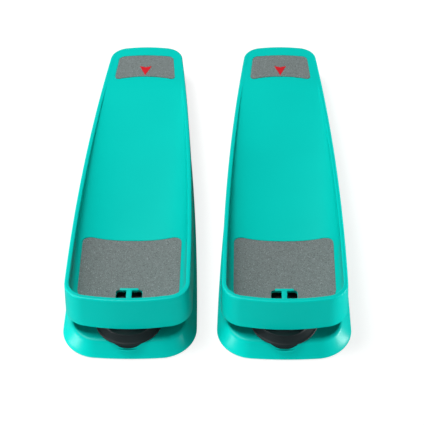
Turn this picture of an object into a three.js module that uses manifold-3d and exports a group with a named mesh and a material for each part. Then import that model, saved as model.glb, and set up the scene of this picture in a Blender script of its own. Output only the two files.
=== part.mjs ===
// A pair of foot pedals for stepping exercise. Each has a long foot tray that is hinged at the heel
// and stands at the toe on a cone of rubber, on a low base with four feet.
//
// Millimetres, +Z up. Each pedal is built in a frame of its own: +X across, +Y from the toe to the
// heel, Z from the floor, and Y = 0 at the middle of the tray's toe rim.
import * as THREE from 'three';
import { mergeVertices } from 'three/addons/utils/BufferGeometryUtils.js';
import Module from 'manifold-3d';

const wasm = await Module();
wasm.setup();

// ---- Driving dimensions ----
const PEDAL_SPACING = 142.5;
const GAP = 0.3; // between pieces that touch

const TRAY = {
  length: 383.7,
  halfWidth: 57, // at the ball of the foot
  widestY: 24.6,
  toeBow: 8,
  toeRadius: 21.4,
  heelBow: 5.1,
  heelRadius: 19.8,
  rimToeZ: 60,
  rimSlope: 0.0662, // the rim falls towards the heel
  edgeToeZ: 22.4,
  edgeSlope: 0.016,
  flare: 1.5, // how far the wall's lower edge stands out past the rim
  rimRound: 1.4,
};

const TROUGH = {
  rimWidth: 4.2,
  toeY: 5,
  toeRadius: 18, // length of the rise from the floor to the toe wall
  depth: 26.8, // below the rim, at the toe
  endY: 318, // where the floor meets the heel platform
  fall: 1.35, // power of the floor's rise to the platform
  power: 2.4, // of the superellipse across the foot
  wall: 3,
};

const SLOT = { halfWidth: 12, toeY: 10, heelY: 37.5, radius: 3 };
const CLEAT = {
  stemHalf: 2.6, barHalf: 8.7, barToeY: 34.3, barHeelY: 37.2, rootY: 1.5, lowZ: 33.2, highZ: 35.8,
};
const RIB = {
  thickness: 2.4, halfSpacing: 20, toeY: 60, heelY: 340, crossHalf: 42, crossY: [95, 165, 235, 305],
};

const BASE = {
  toeY: -18.4,
  toeBow: 5,
  toeRadius: 34,
  heelY: 381,
  heelBow: 5,
  heelRadius: 18,
  flareToe: 5.3, // beyond the tray's rim
  flareTaper: 0.018,
  deckToeZ: 14.5,
  deckSlope: 0.012,
  skirtLowZ: 1.2,
  skirtRun: 9.6, // from the skirt's lower edge in to the deck's edge
  skirtPower: 0.85,
  edgeRound: 1,
  wall: 3.2,
};

const SPRING = {
  y: 17.2, lowRadius: 29.4, lipRadius: 31.4, lipZ: [14.8, 16], highRadius: 24, lowZ: 8.9, shoulderZ: 21,
  topZ: 22, neckRadius: 18.5,
};
const WELL = { radius: SPRING.lowRadius + GAP, floorZ: SPRING.lowZ - GAP, bossRadius: 32.4, bossLowZ: 6.4 };
const SCREW = {
  headRadius: 4.5, headLowZ: 3.3, shankLowZ: 4.9, shankRadius: 1.9, topZ: 14.5, clearance: 2.3,
};
const WASHER = { radius: 7, lowZ: 5.2, highZ: 6.1 };

const FOOT = { radius: 7, height: 3, postRadius: 9, front: [46, 28], rear: [22, 350] };
const HINGE = {
  y: 358,
  z: 19,
  earRadius: 5.9,
  trayEar: [12, 17],
  baseEar: [18, 23],
  bushRadius: 3.6,
  boreRadius: 2.8,
  pinRadius: 2.5,
  pinHalf: 26.5,
  clipX: [23.6, 24.8],
  clipRadius: 5,
};

const COVER = { heelY: 336, inset: 5.4, thickness: 2.5, screwRadius: 3, screws: [[40, 62], [33, 312]] };
const TOE_GRIP = { halfWidth: 46.5, toeY: 19, heelY: 99, radius: 10.5, lift: 0.8 };
const HEEL_GRIP = {
  toeY: 325.6, heelY: 364.2, toeHalf: 31.6, heelHalf: 28.6, arch: 5.4, heelArch: 3.2, corner: 5,
};
const GRIP_THICKNESS = 0.7;
const ARROW = { toeY: 332.6, heelY: 348.2, halfWidth: 6.2, notch: 1.8, thickness: 0.5 };

const TEAL = new THREE.MeshStandardMaterial({ color: 0x02cfc4, roughness: 0.42, metalness: 0 });
const GRIT = new THREE.MeshStandardMaterial({ color: 0x7c8684, roughness: 0.95, metalness: 0 });
const RUBBER = new THREE.MeshStandardMaterial({ color: 0x23282a, roughness: 0.7, metalness: 0 });
const DARK_PLASTIC = new THREE.MeshStandardMaterial({ color: 0x2e3335, roughness: 0.55, metalness: 0 });
const STEEL = new THREE.MeshStandardMaterial({ color: 0x9da1a5, roughness: 0.35, metalness: 1 });
const RED = new THREE.MeshStandardMaterial({ color: 0xd8202c, roughness: 0.5, metalness: 0 });

// ---- Solids ----

// Six times the volume that a closed mesh holds, positive when its faces point out.
function signedVolume(positions, index) {
  const [a, b, c] = [new THREE.Vector3(), new THREE.Vector3(), new THREE.Vector3()];
  let sum = 0;
  for (let i = 0; i < index.length; i += 3) {
    a.fromArray(positions, index[i] * 3);
    b.fromArray(positions, index[i + 1] * 3);
    c.fromArray(positions, index[i + 2] * 3);
    sum += a.dot(b.cross(c));
  }
  return sum;
}

// A skin through closed loops of equal length, with a fan over each end.
function loft(loops) {
  const count = loops[0].length;
  const positions = loops.flat().flatMap((point) => point.toArray());
  const index = [];
  for (let row = 0; row + 1 < loops.length; row += 1) {
    for (let i = 0; i < count; i += 1) {
      const a = row * count + i;
      const b = row * count + ((i + 1) % count);
      index.push(a, b, b + count, a, b + count, a + count);
    }
  }
  [0, loops.length - 1].forEach((row) => {
    const middle = loops[row].reduce((sum, point) => sum.add(point), new THREE.Vector3());
    const centre = positions.length / 3;
    positions.push(...middle.divideScalar(count).toArray());
    for (let i = 0; i < count; i += 1) {
      const a = row * count + i;
      const b = row * count + ((i + 1) % count);
      index.push(...(row === 0 ? [centre, b, a] : [centre, a, b]));
    }
  });
  if (signedVolume(positions, index) < 0) {
    index.reverse();
  }
  const geometry = new THREE.BufferGeometry();
  geometry.setAttribute('position', new THREE.Float32BufferAttribute(positions, 3));
  geometry.setIndex(index);
  return geometry;
}

function toSolid(geometry) {
  const bare = geometry.clone();
  bare.deleteAttribute('normal');
  bare.deleteAttribute('uv');
  const merged = mergeVertices(bare, 1e-4);
  const vertProperties = new Float32Array(merged.attributes.position.array);
  const triVerts = new Uint32Array(merged.index.array);
  return new wasm.Manifold(new wasm.Mesh({ numProp: 3, vertProperties, triVerts }));
}

function toGeometry(solid) {
  const { vertProperties, triVerts } = solid.getMesh();
  const geometry = new THREE.BufferGeometry();
  geometry.setAttribute('position', new THREE.BufferAttribute(vertProperties, 3));
  geometry.setIndex(new THREE.BufferAttribute(triVerts, 1));
  geometry.computeVertexNormals();
  return geometry;
}

const join = (first, ...rest) => rest.reduce((whole, part) => whole.add(part), first);
const cut = (first, ...rest) => rest.reduce((whole, part) => whole.subtract(part), first);

function box([x0, x1], [y0, y1], [z0, z1]) {
  const geometry = new THREE.BoxGeometry(x1 - x0, y1 - y0, z1 - z0);
  return geometry.translate((x0 + x1) / 2, (y0 + y1) / 2, (z0 + z1) / 2);
}

function uprightCylinder(radius, [x, y], [z0, z1], segments = 20) {
  const geometry = new THREE.CylinderGeometry(radius, radius, z1 - z0, segments);
  return geometry.rotateX(Math.PI / 2).translate(x, y, (z0 + z1) / 2);
}

function crossCylinder(radius, [x0, x1], [y, z], segments = 16) {
  const geometry = new THREE.CylinderGeometry(radius, radius, x1 - x0, segments);
  return geometry.rotateZ(Math.PI / 2).translate((x0 + x1) / 2, y, z);
}

function extruded(shape, [z0, z1]) {
  const options = { depth: z1 - z0, bevelEnabled: false, curveSegments: 5 };
  return new THREE.ExtrudeGeometry(shape, options).translate(0, 0, z0);
}

// Lifts each point of a flat piece by the height of the surface below it.
function draped(geometry, heightAt) {
  const position = geometry.attributes.position;
  for (let i = 0; i < position.count; i += 1) {
    position.setZ(i, position.getZ(i) + heightAt(position.getX(i), position.getY(i)));
  }
  return geometry;
}

// ---- Outlines in plan ----

const slopeOf = (curve, at) => (curve(at + 0.01) - curve(at - 0.01)) / 0.02;
const range = (from, to, steps) => (
  Array.from({ length: steps + 1 }, (_, i) => from + ((to - from) * i) / steps)
);

// The side of the tray bulges a little behind the toe and then narrows to the heel.
function trayHalfWidth(y) {
  const past = y - TRAY.widestY;
  return TRAY.halfWidth + 0.00224 * past - 0.000169 * past * past;
}

const baseHalfWidth = (y) => trayHalfWidth(y) + BASE.flareToe - BASE.flareTaper * y;

// The arc that joins a side x = side(y) to an end y = end(x); out is -1 at the toe and 1 at the heel.
function cornerPoints(side, end, radius, out) {
  let x = side(end(0)) - radius;
  let y = end(x) - out * radius;
  for (let i = 0; i < 30; i += 1) {
    y = end(x) - out * radius * Math.hypot(1, slopeOf(end, x));
    x = side(y) - radius * Math.hypot(1, slopeOf(side, y));
  }
  const endAngle = Math.atan2(out, -out * slopeOf(end, x));
  const sideAngle = Math.atan2(-slopeOf(side, y), 1);
  return range(endAngle, sideAngle, 6).map(
    (angle) => new THREE.Vector2(x + radius * Math.cos(angle), y + radius * Math.sin(angle)),
  );
}

// A closed outline, anticlockwise from the middle of the toe: a bowed toe, two curved sides and a
// bowed heel, with round corners.
function planOutline({ halfWidth, toeY, toeBow, toeRadius, heelY, heelBow, heelRadius }) {
  const toe = (x) => toeY + toeBow * (x / halfWidth(0)) ** 2;
  const heel = (x) => heelY - heelBow * (x / halfWidth(heelY)) ** 2;
  const toeCorner = cornerPoints(halfWidth, toe, toeRadius, -1);
  const heelCorner = cornerPoints(halfWidth, heel, heelRadius, 1).reverse();
  const toeEdge = range(0, toeCorner[0].x, 3).slice(0, -1).map((x) => new THREE.Vector2(x, toe(x)));
  const sideEdge = range(toeCorner.at(-1).y, heelCorner[0].y, 9).slice(1, -1)
    .map((y) => new THREE.Vector2(halfWidth(y), y));
  const heelEdge = range(heelCorner.at(-1).x, 0, 3).slice(1).map((x) => new THREE.Vector2(x, heel(x)));
  const right = [...toeEdge, ...toeCorner, ...sideEdge, ...heelCorner, ...heelEdge];
  const left = right.slice(1, -1).reverse().map((point) => new THREE.Vector2(-point.x, point.y));
  return [...right, ...left];
}

// Moves each point of an outline out along its normal by distanceAt(point), to height heightAt(point).
function ring(outline, distanceAt, heightAt) {
  return outline.map((point, i) => {
    const before = outline.at(i - 1);
    const after = outline[(i + 1) % outline.length];
    const normal = new THREE.Vector2(after.y - before.y, before.x - after.x).normalize();
    const moved = point.clone().addScaledVector(normal, distanceAt(point));
    return new THREE.Vector3(moved.x, moved.y, heightAt(moved));
  });
}

// ---- The tray's surfaces ----

const rimZ = (y) => TRAY.rimToeZ - TRAY.rimSlope * y;
const trayEdgeZ = (y) => TRAY.edgeToeZ - TRAY.edgeSlope * y;
const troughDepth = (y) => TROUGH.depth * (1 - Math.max(y / TROUGH.endY, 0) ** TROUGH.fall);
const share = (value, low, high) => THREE.MathUtils.clamp((value - low) / (high - low), 0, 1);

// How far a point lies inside the trough's superellipse: 1 over the flat floor and 0 at the walls.
function insideTrough(x, halfWidth, toeShare, heelShare = 0) {
  const p = TROUGH.power;
  const left = 1 - Math.abs(x / halfWidth) ** p - toeShare ** p - heelShare ** p;
  return Math.max(left, 0) ** (1 / p);
}

const toeShareAt = (y, toeY) => 1 - share(y, toeY, TROUGH.toeY + TROUGH.toeRadius);

function floorZ(x, y) {
  const halfWidth = trayHalfWidth(y) - TROUGH.rimWidth;
  return rimZ(y) - troughDepth(y) * insideTrough(x, halfWidth, toeShareAt(y, TROUGH.toeY));
}

// Slices from toe to heel under or over a curved surface, each closed by a straight side at flatZ.
function slices(rows, columns, halfWidthAt, surfaceAt, flatZ) {
  return rows.map((y) => {
    const half = halfWidthAt(y);
    const curve = range(-Math.PI / 2, Math.PI / 2, columns).map((angle) => {
      const x = half * Math.sin(angle);
      return new THREE.Vector3(x, y, surfaceAt(x, y));
    });
    return [...curve, new THREE.Vector3(half, y, flatZ), new THREE.Vector3(-half, y, flatZ)];
  });
}

// Rows that crowd where a round end of the given length closes, and then run on evenly.
function roundedRows(endY, length, otherY, steps) {
  const round = range(0.2, Math.PI / 2, 5).map((angle) => endY + length * (1 - Math.cos(angle)));
  return [...round, ...range(endY + length, otherY, steps).slice(1)];
}

function troughVoid() {
  const p = TROUGH.power;
  const halfWidthAt = (y) => {
    const full = trayHalfWidth(y) - TROUGH.rimWidth;
    return full * (1 - toeShareAt(y, TROUGH.toeY) ** p) ** (1 / p);
  };
  const rows = roundedRows(TROUGH.toeY, TROUGH.toeRadius, TROUGH.endY + 2, 8);
  return loft(slices(rows, 18, halfWidthAt, floorZ, TRAY.rimToeZ + 20));
}

// The hollow under the floor and the platform, open below.
function trayHollow() {
  const p = TROUGH.power;
  const grow = 2.6;
  const toeY = TROUGH.toeY - grow;
  const heelY = TRAY.length - TROUGH.wall - 1;
  const heelLength = 16;
  const heelShareAt = (y) => share(y, heelY - heelLength, heelY);
  const fullHalf = (y) => trayHalfWidth(y) - TROUGH.rimWidth + 2.2;
  const ceilingZ = (x, y) => {
    const depth = Math.max(troughDepth(y) - 1, 0);
    return rimZ(y) - 4 - depth * insideTrough(x, fullHalf(y), toeShareAt(y, toeY), heelShareAt(y));
  };
  const halfWidthAt = (y) => fullHalf(y) * (1 - toeShareAt(y, toeY) ** p - heelShareAt(y) ** p) ** (1 / p);
  const toeRows = roundedRows(toeY, TROUGH.toeRadius + grow, heelY - heelLength, 6);
  const heelRows = range(Math.PI / 2, 0.2, 4).slice(1)
    .map((angle) => heelY - heelLength * (1 - Math.cos(angle)));
  return loft(slices([...toeRows, ...heelRows], 18, halfWidthAt, ceilingZ, 0));
}

function roundedRectangle([x0, x1], [y0, y1], radius) {
  const shape = new THREE.Shape();
  shape.absarc(x1 - radius, y0 + radius, radius, -Math.PI / 2, 0);
  shape.absarc(x1 - radius, y1 - radius, radius, 0, Math.PI / 2);
  shape.absarc(x0 + radius, y1 - radius, radius, Math.PI / 2, Math.PI);
  shape.absarc(x0 + radius, y0 + radius, radius, Math.PI, Math.PI * 1.5);
  return shape;
}

const slotShape = () => {
  const { halfWidth, toeY, heelY, radius } = SLOT;
  return roundedRectangle([-halfWidth, halfWidth], [toeY, heelY], radius);
};

// ---- Pieces ----

function trayBody() {
  const outline = planOutline({ ...TRAY, halfWidth: trayHalfWidth, toeY: 0, heelY: TRAY.length });
  const levels = [[0, TRAY.flare], [0.95, 0], [0.985, -TRAY.rimRound / 3], [1, -TRAY.rimRound]];
  return loft(levels.map(([level, distance]) => ring(
    outline,
    ({ y }) => distance * (distance > 0 ? 1 - share(y, 0, TRAY.length) : 1),
    ({ y }) => THREE.MathUtils.lerp(trayEdgeZ(y), rimZ(y), level),
  )));
}

// The ribs hang from the floor and stop level with the wall's lower edge, over the cover.
function ribs() {
  const { thickness, halfSpacing, toeY, heelY, crossHalf, crossY } = RIB;
  const low = TRAY.edgeToeZ + GAP + COVER.thickness + 1;
  const along = [-1, 1].map((side) => box(
    [side * halfSpacing - thickness / 2, side * halfSpacing + thickness / 2],
    [toeY, heelY],
    [low, rimZ(heelY) - 3],
  ));
  const across = crossY.map((y) => box(
    [-crossHalf + y / 25, crossHalf - y / 25],
    [y - thickness / 2, y + thickness / 2],
    [low, floorZ(0, y) - 1],
  ));
  return [...along, ...across];
}

// A pair of ears with round ends about the hinge's axis, joined to the body at reachZ.
function ears([x0, x1], reachZ) {
  const { y, z, earRadius } = HINGE;
  const span = [Math.min(z, reachZ), Math.max(z, reachZ)];
  return [[x0, x1], [-x1, -x0]].flatMap((sides) => [
    crossCylinder(earRadius, sides, [y, z], 20),
    box(sides, [y - earRadius, y + earRadius], span),
  ]);
}

function trayShell() {
  const { stemHalf, barHalf, barToeY, barHeelY, rootY, lowZ, highZ } = CLEAT;
  const trough = toSolid(troughVoid());
  const shell = cut(toSolid(trayBody()), toSolid(trayHollow()));
  const platformLowZ = rimZ(HINGE.y) - 3;
  const added = [...ribs(), ...ears(HINGE.trayEar, platformLowZ)].map(toSolid);
  const slotted = cut(join(shell, ...added), trough, toSolid(extruded(slotShape(), [20, 60])));
  const cleat = [
    box([-stemHalf, stemHalf], [rootY, barHeelY], [lowZ, highZ]),
    box([-barHalf, barHalf], [barToeY, barHeelY], [lowZ, highZ]),
  ];
  const bore = crossCylinder(HINGE.bushRadius + GAP, [-30, 30], [HINGE.y, HINGE.z]);
  return toGeometry(cut(join(slotted, ...cleat.map(toSolid)), toSolid(bore)));
}

function trayCover() {
  const outline = planOutline({ ...TRAY, halfWidth: trayHalfWidth, toeY: 0, heelY: COVER.heelY });
  const plate = loft([GAP, GAP + COVER.thickness].map((lift) => ring(
    outline,
    () => -COVER.inset,
    ({ y }) => trayEdgeZ(y) + lift,
  )));
  const holes = coverScrewPlaces().map((place) => uprightCylinder(SCREW.clearance, place, [10, 30]));
  return toGeometry(cut(toSolid(plate), ...holes.map(toSolid)));
}

const coverScrewPlaces = () => COVER.screws.flatMap(([x, y]) => [[-x, y], [x, y]]);

function coverScrew([x, y]) {
  const z = trayEdgeZ(y);
  const head = toSolid(uprightCylinder(COVER.screwRadius, [x, y], [z - 1.6, z - 0.2]));
  const shank = toSolid(uprightCylinder(SCREW.shankRadius, [x, y], [z - 1, z + 4.2]));
  return toGeometry(join(head, shank));
}

// The deck is level across the foot and falls a little towards the heel, and its skirt flares out
// to the floor in a shallow hollow curve.
function baseRing(outline, level, extra) {
  const edge = BASE.edgeRound * share(level, 0.9, 1) ** 2;
  const deckZ = (y) => BASE.deckToeZ - BASE.deckSlope * y;
  const runAt = (y) => BASE.skirtRun * (1 - 0.4 * share(y, 0, TRAY.length));
  return ring(
    outline,
    ({ y }) => -(runAt(y) * level ** BASE.skirtPower + edge + extra),
    ({ y }) => THREE.MathUtils.lerp(BASE.skirtLowZ, deckZ(y), level),
  );
}

function footPlaces() {
  const { front, rear } = FOOT;
  return {
    toe_left_foot: [-front[0], front[1]],
    toe_right_foot: front,
    heel_left_foot: [-rear[0], rear[1]],
    heel_right_foot: rear,
  };
}

function baseShell() {
  const outline = planOutline({ ...BASE, halfWidth: baseHalfWidth });
  const levels = [0, 0.12, 0.4, 0.7, 0.92, 1];
  const outer = toSolid(loft(levels.map((level) => baseRing(outline, level, 0))));
  const hollowLevels = [0, 0.4, 0.78].map((level) => baseRing(outline, level, BASE.wall));
  hollowLevels.unshift(hollowLevels[0].map(({ x, y }) => new THREE.Vector3(x, y, -1)));
  const shell = cut(outer, toSolid(loft(hollowLevels)));
  const posts = Object.values(footPlaces())
    .map((place) => uprightCylinder(FOOT.postRadius, place, [FOOT.height + GAP, 9]));
  const boss = toSolid(uprightCylinder(WELL.bossRadius, [0, SPRING.y], [WELL.bossLowZ, 12], 36));
  const fixed = [...posts, ...ears(HINGE.baseEar, 8)].map(toSolid);
  const lifted = join(shell, outer.intersect(boss), ...fixed);
  return toGeometry(cut(
    lifted,
    toSolid(uprightCylinder(WELL.radius, [0, SPRING.y], [WELL.floorZ, 30], 36)),
    toSolid(uprightCylinder(SCREW.clearance, [0, SPRING.y], [0, 12])),
    toSolid(crossCylinder(HINGE.boreRadius, [-30, 30], [HINGE.y, HINGE.z])),
  ));
}

// A profile of [radius, height] pairs turned about the upright axis at y.
function turned(profile, y) {
  const points = profile.map(([radius, height]) => new THREE.Vector2(radius, height));
  return new THREE.LatheGeometry(points, 36).rotateX(Math.PI / 2).translate(0, y, 0);
}

function springCone() {
  const { y, lowRadius, lipRadius, lipZ, highRadius, lowZ, shoulderZ, topZ, neckRadius } = SPRING;
  const bore = SCREW.shankRadius + GAP;
  const boreTopZ = SCREW.topZ + GAP;
  return toGeometry(toSolid(turned([
    [0, boreTopZ], [bore, boreTopZ], [bore, lowZ], [lowRadius, lowZ], [lowRadius, lipZ[0]],
    [lipRadius, lipZ[0]], [lipRadius, lipZ[1]], [highRadius + 0.6, shoulderZ - 0.5],
    [highRadius, shoulderZ], [neckRadius, shoulderZ], [neckRadius, topZ], [0, topZ],
  ], y)));
}

function springScrew() {
  const { headRadius, headLowZ, shankLowZ, shankRadius, topZ } = SCREW;
  const head = toSolid(uprightCylinder(headRadius, [0, SPRING.y], [headLowZ, shankLowZ]));
  const shank = toSolid(uprightCylinder(shankRadius, [0, SPRING.y], [headLowZ + 1, topZ]));
  return toGeometry(join(head, shank));
}

function springWasher() {
  const disc = toSolid(uprightCylinder(WASHER.radius, [0, SPRING.y], [WASHER.lowZ, WASHER.highZ]));
  const hole = toSolid(uprightCylinder(SCREW.clearance, [0, SPRING.y], [0, 12]));
  return toGeometry(cut(disc, hole));
}

// A plain sleeve about the hinge's axis.
function sleeve(outerRadius, span) {
  const outer = toSolid(crossCylinder(outerRadius, span, [HINGE.y, HINGE.z]));
  const bore = toSolid(crossCylinder(HINGE.boreRadius, [-40, 40], [HINGE.y, HINGE.z]));
  return toGeometry(cut(outer, bore));
}

// The toe sheet lies on the trough's floor and curves up at both sides, with a hole over the slot.
function toeGrip() {
  const { halfWidth, toeY, heelY, radius, lift } = TOE_GRIP;
  const rows = range(toeY - 4, heelY + 4, 9);
  const above = (gap) => toSolid(loft(slices(
    rows,
    16,
    () => halfWidth + 3,
    (x, y) => floorZ(x, y) + gap,
    80,
  )));
  const plan = roundedRectangle([-halfWidth, halfWidth], [toeY, heelY], radius);
  const layer = above(lift).subtract(above(lift + GRIP_THICKNESS));
  const sheet = layer.intersect(toSolid(extruded(plan, [20, 70])));
  return toGeometry(cut(sheet, toSolid(extruded(slotShape(), [20, 70]))));
}

// The heel sheet is an arched band on the flat platform.
function heelGrip() {
  const { toeY, heelY, toeHalf, heelHalf, arch, heelArch, corner } = HEEL_GRIP;
  const shape = new THREE.Shape();
  shape.moveTo(-toeHalf + corner, toeY);
  shape.quadraticCurveTo(0, toeY + 2 * arch, toeHalf - corner, toeY);
  shape.quadraticCurveTo(toeHalf, toeY - 0.8, toeHalf, toeY + corner);
  shape.lineTo(heelHalf, heelY - corner);
  shape.quadraticCurveTo(heelHalf, heelY, heelHalf - corner, heelY);
  shape.quadraticCurveTo(0, heelY + 2 * heelArch, -heelHalf + corner, heelY);
  shape.quadraticCurveTo(-heelHalf, heelY, -heelHalf, heelY - corner);
  shape.lineTo(-toeHalf, toeY + corner);
  shape.quadraticCurveTo(-toeHalf, toeY - 0.8, -toeHalf + corner, toeY);
  const sheet = draped(extruded(shape, [GAP, GAP + GRIP_THICKNESS]), (x, y) => rimZ(y));
  return toGeometry(toSolid(sheet));
}

// A plain arrowhead on the heel sheet that points to the toe.
function toeArrow() {
  const { toeY, heelY, halfWidth, notch, thickness } = ARROW;
  const shape = new THREE.Shape();
  shape.moveTo(0, toeY);
  shape.lineTo(halfWidth, heelY);
  shape.lineTo(0, heelY - notch);
  shape.lineTo(-halfWidth, heelY);
  const low = 2 * GAP + GRIP_THICKNESS;
  return toGeometry(toSolid(draped(extruded(shape, [low, low + thickness]), (x, y) => rimZ(y))));
}

function pedal(side, x) {
  const group = new THREE.Group();
  const place = (name, geometry, material) => {
    const mesh = new THREE.Mesh(geometry, material.clone());
    mesh.name = `${side}_${name}`;
    group.add(mesh);
  };
  const mirrored = ([x0, x1]) => [[-x1, -x0], [x0, x1]];
  place('base_shell', baseShell(), TEAL);
  Object.entries(footPlaces()).forEach(([name, at]) => {
    place(name, toGeometry(toSolid(uprightCylinder(FOOT.radius, at, [0, FOOT.height]))), RUBBER);
  });
  place('spring_cone', springCone(), RUBBER);
  place('spring_screw', springScrew(), STEEL);
  place('spring_washer', springWasher(), STEEL);
  const pin = crossCylinder(HINGE.pinRadius, [-HINGE.pinHalf, HINGE.pinHalf], [HINGE.y, HINGE.z]);
  place('hinge_pin', toGeometry(toSolid(pin)), STEEL);
  const bushSpan = [HINGE.trayEar[0] - 0.2, HINGE.trayEar[1] + 0.2];
  mirrored(bushSpan).forEach((span, i) => {
    place(`hinge_bush_${i + 1}`, sleeve(HINGE.bushRadius, span), DARK_PLASTIC);
  });
  mirrored(HINGE.clipX).forEach((span, i) => {
    place(`pin_clip_${i + 1}`, sleeve(HINGE.clipRadius, span), STEEL);
  });
  place('foot_tray', trayShell(), TEAL);
  place('tray_cover', trayCover(), DARK_PLASTIC);
  coverScrewPlaces().forEach((at, i) => place(`cover_screw_${i + 1}`, coverScrew(at), STEEL));
  place('toe_grip', toeGrip(), GRIT);
  place('heel_grip', heelGrip(), GRIT);
  place('toe_arrow', toeArrow(), RED);
  group.position.set(x, -(TRAY.length + BASE.toeY) / 2, 0);
  return group;
}

const pair = new THREE.Group();
pair.add(pedal('left', -PEDAL_SPACING / 2));
pair.add(pedal('right', PEDAL_SPACING / 2));

export default pair;
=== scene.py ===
"""The looks of a pair of hinged foot pedals in turquoise moulded plastic.

Each pedal is a long foot tray on a low flared base. Lengths in the classes are millimetres in the
pedal's own frame, with +Y from the toe to the heel and Y = 0 at the middle of the tray's toe rim.
"""

import logging
import math
from dataclasses import dataclass, field
from enum import Enum
from typing import Callable, Sequence

import bmesh
import bpy
import numpy as np
from mathutils import Matrix, Vector


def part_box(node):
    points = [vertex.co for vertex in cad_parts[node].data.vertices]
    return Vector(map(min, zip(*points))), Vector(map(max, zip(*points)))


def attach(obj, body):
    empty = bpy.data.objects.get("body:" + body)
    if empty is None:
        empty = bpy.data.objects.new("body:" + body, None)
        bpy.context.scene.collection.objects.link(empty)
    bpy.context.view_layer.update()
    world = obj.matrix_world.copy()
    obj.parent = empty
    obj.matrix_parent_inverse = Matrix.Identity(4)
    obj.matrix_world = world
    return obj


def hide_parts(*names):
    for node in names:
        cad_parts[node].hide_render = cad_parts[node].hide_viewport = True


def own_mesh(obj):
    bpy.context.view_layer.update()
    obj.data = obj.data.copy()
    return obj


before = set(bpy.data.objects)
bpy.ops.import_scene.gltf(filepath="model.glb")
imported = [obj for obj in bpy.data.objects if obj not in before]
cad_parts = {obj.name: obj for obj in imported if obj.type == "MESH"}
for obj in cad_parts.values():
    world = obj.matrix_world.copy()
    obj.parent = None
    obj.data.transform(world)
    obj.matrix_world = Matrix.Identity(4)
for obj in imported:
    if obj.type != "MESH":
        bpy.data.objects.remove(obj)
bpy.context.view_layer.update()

LOG = logging.getLogger("foot_pedals")
MM = 0.001
# In metres: points this close become one, and edges this short are dissolved.
MERGE_WITHIN = 2e-6
FLAT_WITHIN = 1e-6
SIDES = ("left", "right")
Array = np.ndarray
Curve = Callable[[Array], Array]


class Finish(Enum):
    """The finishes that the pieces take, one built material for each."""

    TEAL = "teal_plastic"
    DARK = "dark_plastic"
    BUSH = "bush_plastic"
    GRIT = "grit_sheet"
    RUBBER = "rubber"
    RED = "red_print"
    STEEL = "steel"


class Axis(Enum):
    """The directions that a turned piece's axis can have."""

    UP = "up"
    ACROSS = "across"


class Change(Enum):
    """What one mesh does to another."""

    JOIN = "UNION"
    CUT = "DIFFERENCE"


class Body(Enum):
    """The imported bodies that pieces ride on, by side."""

    TRAY = "{side}_tray"
    BASES = "bases"


# ---- Materials ----

# The noise values between which a cloud turns from shade to colour, and a speck's soft edge.
CLOUD_SPAN = (0.35, 0.65)
SPECK_EDGE = 0.05


def linear(hex_colour: str) -> tuple[float, float, float, float]:
    """Turns an sRGB hex colour into linear red, green, blue and an alpha of one.

    Args:
        hex_colour: Six hex digits, without a hash.

    Returns:
        The linear colour.
    """
    srgb = [int(hex_colour[i : i + 2], 16) / 255 for i in (0, 2, 4)]
    red, green, blue = [c / 12.92 if c <= 0.04045 else ((c + 0.055) / 1.055) ** 2.4 for c in srgb]
    return (red, green, blue, 1.0)


def add_node(material: bpy.types.Material, kind: str, settings: dict, links: dict) -> bpy.types.Node:
    """Adds one node to a material.

    Args:
        material: The material that gets the node.
        kind: The node's type name.
        settings: Values by input name, or by attribute name where the node has no such input.
        links: Output sockets by the name of the input that each one feeds.

    Returns:
        The new node.
    """
    node = material.node_tree.nodes.new(kind)
    for name, value in settings.items():
        if name in node.inputs:
            node.inputs[name].default_value = value
        else:
            setattr(node, name, value)
    for name, socket in links.items():
        material.node_tree.links.new(socket, node.inputs[name])
    return node


def colour_ramp(
    material: bpy.types.Material, stops: list[tuple[float, str]], factor: bpy.types.NodeSocket
) -> bpy.types.NodeSocket:
    """Adds a colour ramp.

    Args:
        material: The material that gets the node.
        stops: Positions and sRGB hex colours, lowest first.
        factor: The socket that drives the ramp.

    Returns:
        The ramp's colour output.
    """
    node = add_node(material, "ShaderNodeValToRGB", {}, {"Fac": factor})
    elements = node.color_ramp.elements
    while len(elements) < len(stops):
        elements.new(1.0)
    for element, (position, colour) in zip(elements, stops):
        element.position = position
        element.color = linear(colour)
    return node.outputs["Color"]


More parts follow.
